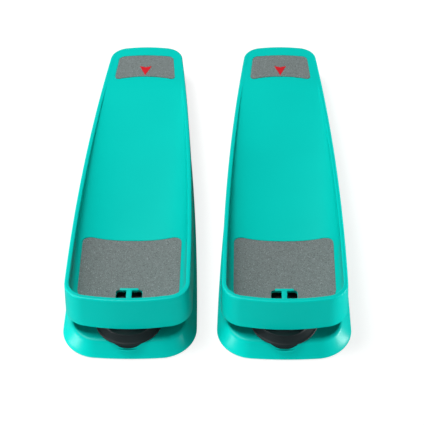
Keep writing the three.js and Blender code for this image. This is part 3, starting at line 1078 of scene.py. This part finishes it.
@dataclass
class HeelHinge:
    """The steel pin with its bushes and clips, and the ears that they run in."""

    y: float = 358.0
    z: float = 19.0
    ear_radius: float = 5.9
    bush_radius: float = 3.6
    bore_radius: float = 2.8
    bore_gap: float = 0.05
    bore_reach: float = 40
    pin_radius: float = 2.5
    pin_half: float = 26.5
    pin_edge: float = 0.5
    clip_radius: float = 5.0
    ring_edge: float = 0.2
    tray_ear: tuple[float, float] = (12.0, 17.0)
    base_ear: tuple[float, float] = (18.0, 23.0)
    bush: tuple[float, float] = (11.8, 17.2)
    clip: tuple[float, float] = (23.6, 24.8)
    segments: int = 48

    def ear(self, span: tuple[float, float], reach_z: float, bore: float) -> bpy.types.Mesh:
        """One ear: a straight root and a round end about the pin, with a bore.

        Args:
            span: Where its two faces stand across the foot.
            reach_z: The height that the root comes from, above or below the pin.
            bore: The radius of what runs in it.

        Returns:
            The mesh.
        """
        start = 0.0 if reach_z > self.z else math.pi
        angle = np.linspace(start + math.pi, start + 2 * math.pi, 25)
        end_y = self.y + self.ear_radius * np.cos(angle)
        end = np.stack([end_y, self.z + self.ear_radius * np.sin(angle)], axis=-1)
        root = np.array([[end[-1, 0], reach_z], [end[0, 0], reach_z]])
        corners = [(span[0] * MM, y * MM, z * MM) for y, z in np.concatenate([end, root])]
        work = bmesh.new()
        swept_face(work, corners, ((span[1] - span[0]) * MM, 0, 0))
        reach = (-self.bore_reach, self.bore_reach)
        hole = self.sleeve(bore + self.bore_gap, 0, reach, 0.1)
        return combined(taken(work, "ear"), hole, Change.CUT)

    def sleeve(
        self, outer: float, inner: float, span: tuple[float, float], edge: float
    ) -> bpy.types.Mesh:
        """A ring or pin about the hinge's axis.

        Args:
            outer: Outer radius.
            inner: Inner radius, or zero for a pin.
            span: Where its two faces stand across the foot.
            edge: Radius of its outer edges.

        Returns:
            The mesh.
        """
        profile = rounded_tube(outer, inner, span[0], span[1], edge)
        return turned(profile, (0, self.y, self.z), Axis.ACROSS, self.segments)

    def pin(self) -> bpy.types.Mesh:
        """The steel pin through all four ears."""
        return self.sleeve(self.pin_radius, 0, (-self.pin_half, self.pin_half), self.pin_edge)

    def rings(self, outer: float, span: tuple[float, float]) -> list[bpy.types.Mesh]:
        """A ring that the pin runs through at each side, the one at -X first."""
        return [
            self.sleeve(outer, self.bore_radius, side, self.ring_edge)
            for side in reversed(both_sides(span))
        ]


# ---- The base ----


@dataclass(frozen=True)
class PanScrew:
    """A pan-head screw, head down, with a cross recess."""

    head_radius: float
    shank_radius: float = 1.9
    tip_radius: float = 1.2
    tip_length: float = 1.2
    recess_half: float = 0.45
    recess_share: float = 0.6
    recess_depth: float = 0.8
    segments: int = 40

    def mesh(self, place: tuple[float, float], head_z: float, top_z: float) -> bpy.types.Mesh:
        """Builds the screw.

        Args:
            place: Where it stands in plan.
            head_z: Height of the head's face.
            top_z: Height of the tip.

        Returns:
            The mesh.
        """
        full, shank = self.head_radius, self.shank_radius
        head = [
            (0, head_z),
            (full - 1.0, head_z),
            (full - 0.3, head_z + 0.35),
            (full, head_z + 0.9),
            (full, head_z + 1.5),
        ]
        thread = [
            (shank, head_z + 1.6),
            (shank, top_z - self.tip_length),
            (self.tip_radius, top_z),
            (0, top_z),
        ]
        mesh = turned(head + thread, (*place, 0), segments=self.segments)
        x, y = place
        reach = full * self.recess_share
        for across, along in ((self.recess_half, reach), (reach, self.recess_half)):
            low = (x - across, y - along, head_z - 1)
            high = (x + across, y + along, head_z + self.recess_depth)
            mesh = combined(mesh, block(low, high, 0.0), Change.CUT)
        return mesh


@dataclass
class FlaredBase:
    """The low base with its skirt, deck, well and feet, and the rubber cone that stands in it."""

    tray: FootTray
    hinge: HeelHinge
    side_gap: float = 5.3
    side_taper: float = 0.018
    toe_y: float = -18.4
    toe_bow: float = 5.0
    toe_corner: float = 34.0
    heel_y: float = 381.0
    heel_bow: float = 5.0
    heel_corner: float = 18.0
    spine_y: tuple[float, float] = (30, 340)
    skirt_low_z: float = 1.2
    deck_toe_z: float = 14.5
    deck_slope: float = 0.012
    skirt_run: float = 9.6
    skirt_taper: float = 0.4
    skirt_power: float = 0.85
    shoulder_level: float = 0.84
    side_round: float = 1.8
    toe_round: float = 3.2
    wall: float = 3.0
    lip_drop: float = 0.5
    under_level: float = 0.8
    spring_y: float = 17.2
    boss_radius: float = 31.4
    boss_z: tuple[float, float] = (6.4, 8.7)
    post_radius: float = 9
    post_z: tuple[float, float] = (3.3, 9)
    boss_round: float = 0.4
    ear_root_z: float = 8.0
    well_radius: float = 29.7
    well_z: tuple[float, float] = (8.6, 40)
    well_round: float = 0.6
    hole_radius: float = 2.3
    hole_z: tuple[float, float] = (0, 20)
    spring_low_z: float = 8.9
    spring_keep: float = 0.55
    washer_radius: float = 7
    washer_z: tuple[float, float] = (5.2, 6.1)
    washer_edge: float = 0.2
    foot_places: dict[str, tuple[float, float]] = field(
        default_factory=lambda: {
            "toe_left_foot": (-46, 28),
            "toe_right_foot": (46, 28),
            "heel_left_foot": (-22, 350),
            "heel_right_foot": (22, 350),
        }
    )

    def half_width(self, y: Array) -> Array:
        """The base stands out past the tray at the toe, and less and less towards the heel."""
        return self.tray.half_width(y) + self.side_gap - self.side_taper * y

    def deck_z(self, y: Array) -> Array:
        """The deck's height, which falls a little to the heel."""
        return self.deck_toe_z - self.deck_slope * y

    def skirt_z(self, deck: Array, level: float) -> Array:
        """The height at a level between the floor edge, 0, and the deck, 1."""
        return self.skirt_low_z + (deck - self.skirt_low_z) * level

    def rings(self) -> Array:
        """Rings from the middle of the deck, over its edge, down the skirt and back underneath.

        The skirt's inset from the floor outline is its run times the level to a power, so it is a
        shallow hollow curve. A quadratic curve rounds the deck's edge, more at the toe.

        Returns:
            Rings by points by three, in millimetres.
        """
        toe = (self.toe_y, self.toe_bow, self.toe_corner)
        heel = (self.heel_y, self.heel_bow, self.heel_corner)
        plan = PlanOutline(self.half_width, *toe, *heel).points()
        normal = outward(plan)
        share_y = np.clip(plan[:, 1:] / self.tray.length, 0, 1)
        run = self.skirt_run * (1 - self.skirt_taper * share_y)
        soft = self.side_round + self.toe_round * np.clip(-normal[:, 1:], 0, 1) ** 2
        deck = self.deck_z(plan[:, 1])
        spine = spine_of(plan, *self.spine_y)
        on_deck = plan - (run + soft) * normal
        corner = plan - run * normal
        on_skirt = plan - run * self.shoulder_level**self.skirt_power * normal
        shoulder_z = self.skirt_z(deck, self.shoulder_level)
        rings = []
        for share in np.linspace(0, 1, 14):
            ring = spine + share * (on_deck - spine)
            rings.append(lifted(ring, self.deck_z(ring[:, 1])))
        for t in np.linspace(0, 1, 9)[1:]:
            ring = (1 - t) ** 2 * on_deck + 2 * t * (1 - t) * corner + t**2 * on_skirt
            rings.append(lifted(ring, (1 - t**2) * deck + t**2 * shoulder_z))
        for level in np.linspace(self.shoulder_level, 0, 14)[1:]:
            ring = plan - run * level**self.skirt_power * normal
            rings.append(lifted(ring, self.skirt_z(deck, level)))
        return np.stack(rings + self._under_rings(plan, normal, run, spine))

    def _under_rings(self, plan: Array, normal: Array, run: Array, spine: Array) -> list[Array]:
        """Rings round the floor edge, up the skirt's inner face and in under the deck.

        Args:
            plan: The floor outline.
            normal: Its normals.
            run: How far the skirt leans in.
            spine: The middle line's nearest points.

        Returns:
            The rings, from the floor edge to the middle.
        """
        rings = []
        deck = self.deck_z(plan[:, 1])
        half = self.wall / 2
        for angle in np.linspace(0, math.pi, 7)[1:-1]:
            ring = plan - half * (1 - math.cos(angle)) * normal
            rings.append(lifted(ring, self.skirt_low_z - self.lip_drop * math.sin(angle)))
        for level in np.linspace(0, self.under_level, 8):
            ring = plan - (self.wall + run * level**self.skirt_power) * normal
            rings.append(lifted(ring, self.skirt_z(deck, level)))
        last = plan - (self.wall + run * self.under_level**self.skirt_power) * normal
        for share in np.linspace(1, 0, 8)[1:]:
            ring = spine + share * (last - spine)
            rings.append(lifted(ring, self.skirt_z(self.deck_z(ring[:, 1]), self.under_level)))
        return rings

    def _disc(
        self,
        place: tuple[float, float],
        radius: float,
        span: tuple[float, float],
        edge: float,
        segments: int = 72,
    ) -> bpy.types.Mesh:
        """An upright disc with rounded edges.

        Args:
            place: Where it stands in plan.
            radius: Its radius.
            span: Its lower and upper height.
            edge: Radius of its edges.
            segments: Points round it.

        Returns:
            The mesh.
        """
        return turned(rounded_tube(radius, 0, *span, edge), (*place, 0), segments=segments)

    def shell(self) -> bpy.types.Mesh:
        """The base's moulding: the skirt and deck, with bosses, posts, ears and the well.

        Returns:
            The mesh.
        """
        spring = (0, self.spring_y)
        added = [self._disc(spring, self.boss_radius, self.boss_z, self.boss_round)]
        for place in self.foot_places.values():
            added.append(self._disc(place, self.post_radius, self.post_z, self.boss_round, 48))
        for span in both_sides(self.hinge.base_ear):
            added.append(self.hinge.ear(span, self.ear_root_z, self.hinge.bore_radius))
        well = self._disc(spring, self.well_radius, self.well_z, self.well_round, 120)
        hole = self._disc(spring, self.hole_radius, self.hole_z, 0.1, 32)
        mesh = skin(self.rings())
        for boss in added:
            mesh = combined(mesh, boss, Change.JOIN)
        return combined(combined(mesh, well, Change.CUT), hole, Change.CUT)

    def cone(self) -> bpy.types.Mesh:
        """The rubber cone, turned from one profile of radii and heights.

        Its foot stands in the well, a lip reaches over the well's edge, and a straight flank
        leads to a rounded shoulder and a narrower neck. A blind bore takes the screw.

        Returns:
            The mesh.
        """
        turn = quarter_turn(6)
        foot = [(28.8 + 0.6 * math.sin(a), 9.5 - 0.6 * math.cos(a)) for a in turn]
        lip = [(29.4, 14.3), (30.0, 14.8), (30.8, 14.8)]
        edge = [(30.4 + 1.1 * math.cos(a), 15.6 + 1.1 * math.sin(a)) for a in turn - 0.6]
        flank = [(29.9 - 5.2 * t, 16.7 + 3.7 * t) for t in np.linspace(0, 1, 9)]
        shoulder = [(23.9 + 0.7 * math.cos(a), 20.6 + 0.6 * math.sin(a)) for a in turn]
        neck = [(19.4, 21.2), (19.0, 21.4), (18.8, 21.8), (18.4, 22.0), (12.0, 22.0), (0, 22.0)]
        bore = [(0, 14.8), (2.2, 14.8), (2.2, self.spring_low_z)]
        profile = bore + foot + lip + edge + flank + shoulder + neck
        return turned(profile, (0, self.spring_y, 0), segments=144)

    def spring_anchor(self) -> tuple[float, float, float]:
        """The middle of the cone's lower face."""
        return (0, self.spring_y, self.spring_low_z)

    def foot(self, name: str) -> bpy.types.Mesh:
        """A rubber foot with a shallow ring in its sole."""
        sole = [(0, 0.5), (3.2, 0.5), (3.8, 0.0), (6.4, 0.0), (6.85, 0.15), (7.0, 0.6)]
        top = [(7.0, 2.6), (6.8, 2.9), (6.5, 3.0), (0, 3.0)]
        return turned(sole + top, (*self.foot_places[name], 0), segments=48)

    def washer(self) -> bpy.types.Mesh:
        """The washer under the cone's screw."""
        edge = self.washer_edge
        profile = rounded_tube(self.washer_radius, self.hole_radius, *self.washer_z, edge)
        return turned(profile, (0, self.spring_y, 0), segments=48)


# ---- One pedal ----


@dataclass(frozen=True)
class PieceSpec:
    """One visible piece of a pedal before it is placed on a side."""

    name: str
    mesh: bpy.types.Mesh
    finish: Finish
    body: Body
    stands_for: tuple[str, ...] = ()


@dataclass
class Pedal:
    """Builds the pieces of one pedal once, for both sides."""

    tray: FootTray = field(default_factory=FootTray)
    hinge: HeelHinge = field(default_factory=HeelHinge)
    cone_screw: PanScrew = PanScrew(head_radius=4.5)
    cone_screw_z: tuple[float, float] = (3.3, 14.5)
    cover_screw: PanScrew = PanScrew(head_radius=3.0)
    cover_screw_drop: float = 1.6
    cover_screw_reach: float = 4.2

    def __post_init__(self) -> None:
        """Adds the sub-assemblies that are sized by the tray and the hinge."""
        self.grips = GripSheets(self.tray)
        self.base = FlaredBase(self.tray, self.hinge)

    def tray_pieces(self) -> list[PieceSpec]:
        """Makes the pieces that tilt with the tray."""
        tray, grips = self.tray, self.grips
        found = [
            PieceSpec("tray_moulding", tray.shell(), Finish.TEAL, Body.TRAY, ("foot_tray",)),
            PieceSpec("band_cleat", tray.cleat(), Finish.TEAL, Body.TRAY),
            PieceSpec("tray_ears", tray.ears(self.hinge), Finish.TEAL, Body.TRAY),
            PieceSpec("underside_cover", tray.cover(), Finish.DARK, Body.TRAY, ("tray_cover",)),
            PieceSpec("toe_grit_sheet", grips.toe_sheet(), Finish.GRIT, Body.TRAY, ("toe_grip",)),
            PieceSpec("heel_grit_sheet", grips.heel_sheet(), Finish.GRIT, Body.TRAY, ("heel_grip",)),
            PieceSpec("arrowhead", grips.arrow(), Finish.RED, Body.TRAY, ("toe_arrow",)),
        ]
        for i, place in enumerate(tray.screw_places, 1):
            edge = float(tray.edge_z(place[1]))
            screw = self.cover_screw.mesh(
                place, edge - self.cover_screw_drop, edge + self.cover_screw_reach
            )
            node = (f"cover_screw_{i}",)
            found.append(PieceSpec(f"plate_screw_{i}", screw, Finish.STEEL, Body.TRAY, node))
        bushes = self.hinge.rings(self.hinge.bush_radius, self.hinge.bush)
        for i, bush in enumerate(bushes, 1):
            node = (f"hinge_bush_{i}",)
            found.append(PieceSpec(f"acetal_bush_{i}", bush, Finish.BUSH, Body.TRAY, node))
        return found

    def base_pieces(self) -> list[PieceSpec]:
        """Makes the pieces that stand still."""
        base = self.base
        screw = self.cone_screw.mesh((0, base.spring_y), *self.cone_screw_z)
        found = [
            PieceSpec("base_moulding", base.shell(), Finish.TEAL, Body.BASES, ("base_shell",)),
            PieceSpec("rubber_cone", base.cone(), Finish.RUBBER, Body.BASES, ("spring_cone",)),
            PieceSpec("cone_washer", base.washer(), Finish.STEEL, Body.BASES, ("spring_washer",)),
            PieceSpec("cone_screw", screw, Finish.STEEL, Body.BASES, ("spring_screw",)),
            PieceSpec("steel_pin", self.hinge.pin(), Finish.STEEL, Body.BASES, ("hinge_pin",)),
        ]
        for name in base.foot_places:
            foot = base.foot(name)
            found.append(PieceSpec(f"rubber_{name}", foot, Finish.RUBBER, Body.BASES, (name,)))
        clips = self.hinge.rings(self.hinge.clip_radius, self.hinge.clip)
        for i, clip in enumerate(clips, 1):
            node = (f"pin_clip_{i}",)
            found.append(PieceSpec(f"spring_clip_{i}", clip, Finish.STEEL, Body.BASES, node))
        return found

    def origin(self, side: str) -> Vector:
        """The place in the row frame of the pedal's own origin, in metres."""
        low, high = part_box(f"{side}_foot_tray")
        return Vector(((low.x + high.x) / 2, high.y - self.tray.length * MM, 0))


def place_pieces(materials: dict[Finish, bpy.types.Material]) -> None:
    """Places a copy of every piece on both sides.

    Args:
        materials: The built material of each finish.
    """
    pedal = Pedal()
    specs = pedal.tray_pieces() + pedal.base_pieces()
    for side in SIDES:
        shift = Matrix.Translation(pedal.origin(side))
        for spec in specs:
            mesh = spec.mesh.copy()
            mesh.transform(shift)
            mesh.materials.clear()
            mesh.materials.append(materials[spec.finish])
            piece = bpy.data.objects.new(f"{side}_{spec.name}", mesh)
            bpy.context.scene.collection.objects.link(piece)
            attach(piece, spec.body.value.format(side=side))
            if spec.stands_for:
                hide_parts(*[f"{side}_{node}" for node in spec.stands_for])
            if spec.name == "rubber_cone":
                anchor = Vector(pedal.base.spring_anchor()) * MM + shift.translation
                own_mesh(piece)
            LOG.info("placed %s with %d faces", piece.name, len(mesh.polygons))


# ---- The studio ----

# What every lamp faces, in metres.
LAMP_AIM = (0, -0.05, 0.03)


@dataclass(frozen=True)
class Lamp:
    """A soft lamp that faces the pedals. Places and sizes are in metres.

    One that doesn't shine gives no reflections.
    """

    name: str
    place: tuple[float, float, float]
    size: tuple[float, float]
    watts: float
    shines: bool = True

    def build(self) -> None:
        """Adds the lamp to the scene."""
        light = bpy.data.lights.new(self.name, "AREA")
        light.shape = "RECTANGLE"
        light.size, light.size_y = self.size
        light.energy = self.watts
        lamp = bpy.data.objects.new(self.name, light)
        lamp.location = self.place
        lamp.visible_glossy = self.shines
        aim = Vector(LAMP_AIM) - lamp.location
        lamp.rotation_euler = aim.to_track_quat("-Z", "Y").to_euler()
        bpy.context.scene.collection.objects.link(lamp)


LAMPS = (
    Lamp("high_left", (-0.55, 0.25, 1.6), (0.7, 0.7), 27.0),
    Lamp("low_left", (-1.6, -0.5, 0.08), (0.8, 0.1), 17.0),
    Lamp("low_right", (1.65, -0.1, 0.04), (0.8, 0.06), 28.0),
    Lamp("toe_side", (-0.3, -1.7, 0.22), (0.7, 0.36), 11.0, shines=False),
)


@dataclass
class Studio:
    """The white floor, the soft lamps and the camera.

    The camera's place is in millimetres, and its pitch, yaw and roll are in degrees.
    """

    camera_place: tuple[float, float, float] = (38.8, -1052.5, 1075.0)
    pitch: float = 45.98
    yaw: float = -2.04
    roll: float = -1.35
    focal: float = 127.15
    sensor: float = 36
    camera_reach: float = 20
    floor_reach: float = 6.0
    floor_bounce: float = 0.25
    floor_glow: float = 0.72
    glow_strength: float = 1.15
    world_light: float = 0.1

    def build(self) -> None:
        """Builds the whole studio."""
        self._floor()
        self._world()
        for lamp in LAMPS:
            lamp.build()
        self._camera()
        bpy.context.scene.view_settings.view_transform = "Standard"

    def _camera(self) -> None:
        """Aims the camera by its pitch below the horizon, its turn and its roll."""
        pitch, yaw, roll = (math.radians(a) for a in (self.pitch, self.yaw, self.roll))
        level = math.cos(pitch)
        ahead = Vector((math.sin(yaw) * level, math.cos(yaw) * level, -math.sin(pitch)))
        right = Vector((math.cos(yaw), -math.sin(yaw), 0))
        up = right.cross(ahead)
        rolled_right = math.cos(roll) * right + math.sin(roll) * up
        rolled_up = -math.sin(roll) * right + math.cos(roll) * up
        camera = bpy.data.objects.new("camera", bpy.data.cameras.new("camera"))
        camera.data.lens = self.focal
        camera.data.sensor_width = self.sensor
        camera.data.clip_end = self.camera_reach
        turn = Matrix((rolled_right, rolled_up, -ahead)).transposed().to_4x4()
        camera.matrix_world = Matrix.Translation(Vector(self.camera_place) * MM) @ turn
        bpy.context.scene.collection.objects.link(camera)
        bpy.context.scene.camera = camera

    def _floor(self) -> None:
        """A white floor with faint shadows: the camera sees it brighter than it lights the pedals."""
        mesh = bpy.data.meshes.new("floor")
        reach = self.floor_reach
        corners = [(-reach, -reach, 0), (reach, -reach, 0), (reach, reach, 0), (-reach, reach, 0)]
        mesh.from_pydata(corners, [], [(0, 1, 2, 3)])
        floor = bpy.data.objects.new("floor", mesh)
        bpy.context.scene.collection.objects.link(floor)
        material = bpy.data.materials.new("white_sweep")
        material.use_nodes = True
        material.node_tree.nodes.clear()
        grey = (self.floor_bounce, self.floor_bounce, self.floor_bounce, 1)
        strength = {"Strength": self.glow_strength}
        dull = add_node(material, "ShaderNodeBsdfDiffuse", {"Color": grey}, {}).outputs[0]
        white = add_node(material, "ShaderNodeBsdfDiffuse", {"Color": (1, 1, 1, 1)}, {}).outputs[0]
        glow = add_node(material, "ShaderNodeEmission", strength, {}).outputs[0]
        ray = add_node(material, "ShaderNodeLightPath", {}, {}).outputs["Is Camera Ray"]
        seen = self._mix(material, self.floor_glow, white, glow)
        final = self._mix(material, 0.5, dull, seen)
        material.node_tree.links.new(ray, final.node.inputs[0])
        add_node(material, "ShaderNodeOutputMaterial", {}, {"Surface": final})
        mesh.materials.append(material)

    def _mix(
        self,
        material: bpy.types.Material,
        share: float,
        first: bpy.types.NodeSocket,
        second: bpy.types.NodeSocket,
    ) -> bpy.types.NodeSocket:
        """Mixes two shaders.

        Args:
            material: The material that gets the node.
            share: The second shader's share.
            first: The first shader.
            second: The second shader.

        Returns:
            The mixed shader.
        """
        node = add_node(material, "ShaderNodeMixShader", {}, {})
        node.inputs[0].default_value = share
        material.node_tree.links.new(first, node.inputs[1])
        material.node_tree.links.new(second, node.inputs[2])
        return node.outputs[0]

    def _world(self) -> None:
        """Even white light from all round."""
        world = bpy.data.worlds.new("studio")
        world.use_nodes = True
        background = world.node_tree.nodes["Background"]
        background.inputs["Color"].default_value = (1, 1, 1, 1)
        background.inputs["Strength"].default_value = self.world_light
        bpy.context.scene.world = world


def main() -> None:
    """Builds the finishes, the pieces and the studio."""
    logging.basicConfig(level=logging.INFO)
    materials = {finish: spec.build() for finish, spec in FINISHES.items()}
    place_pieces(materials)
    Studio().build()


if __name__ == "__main__":
    main()
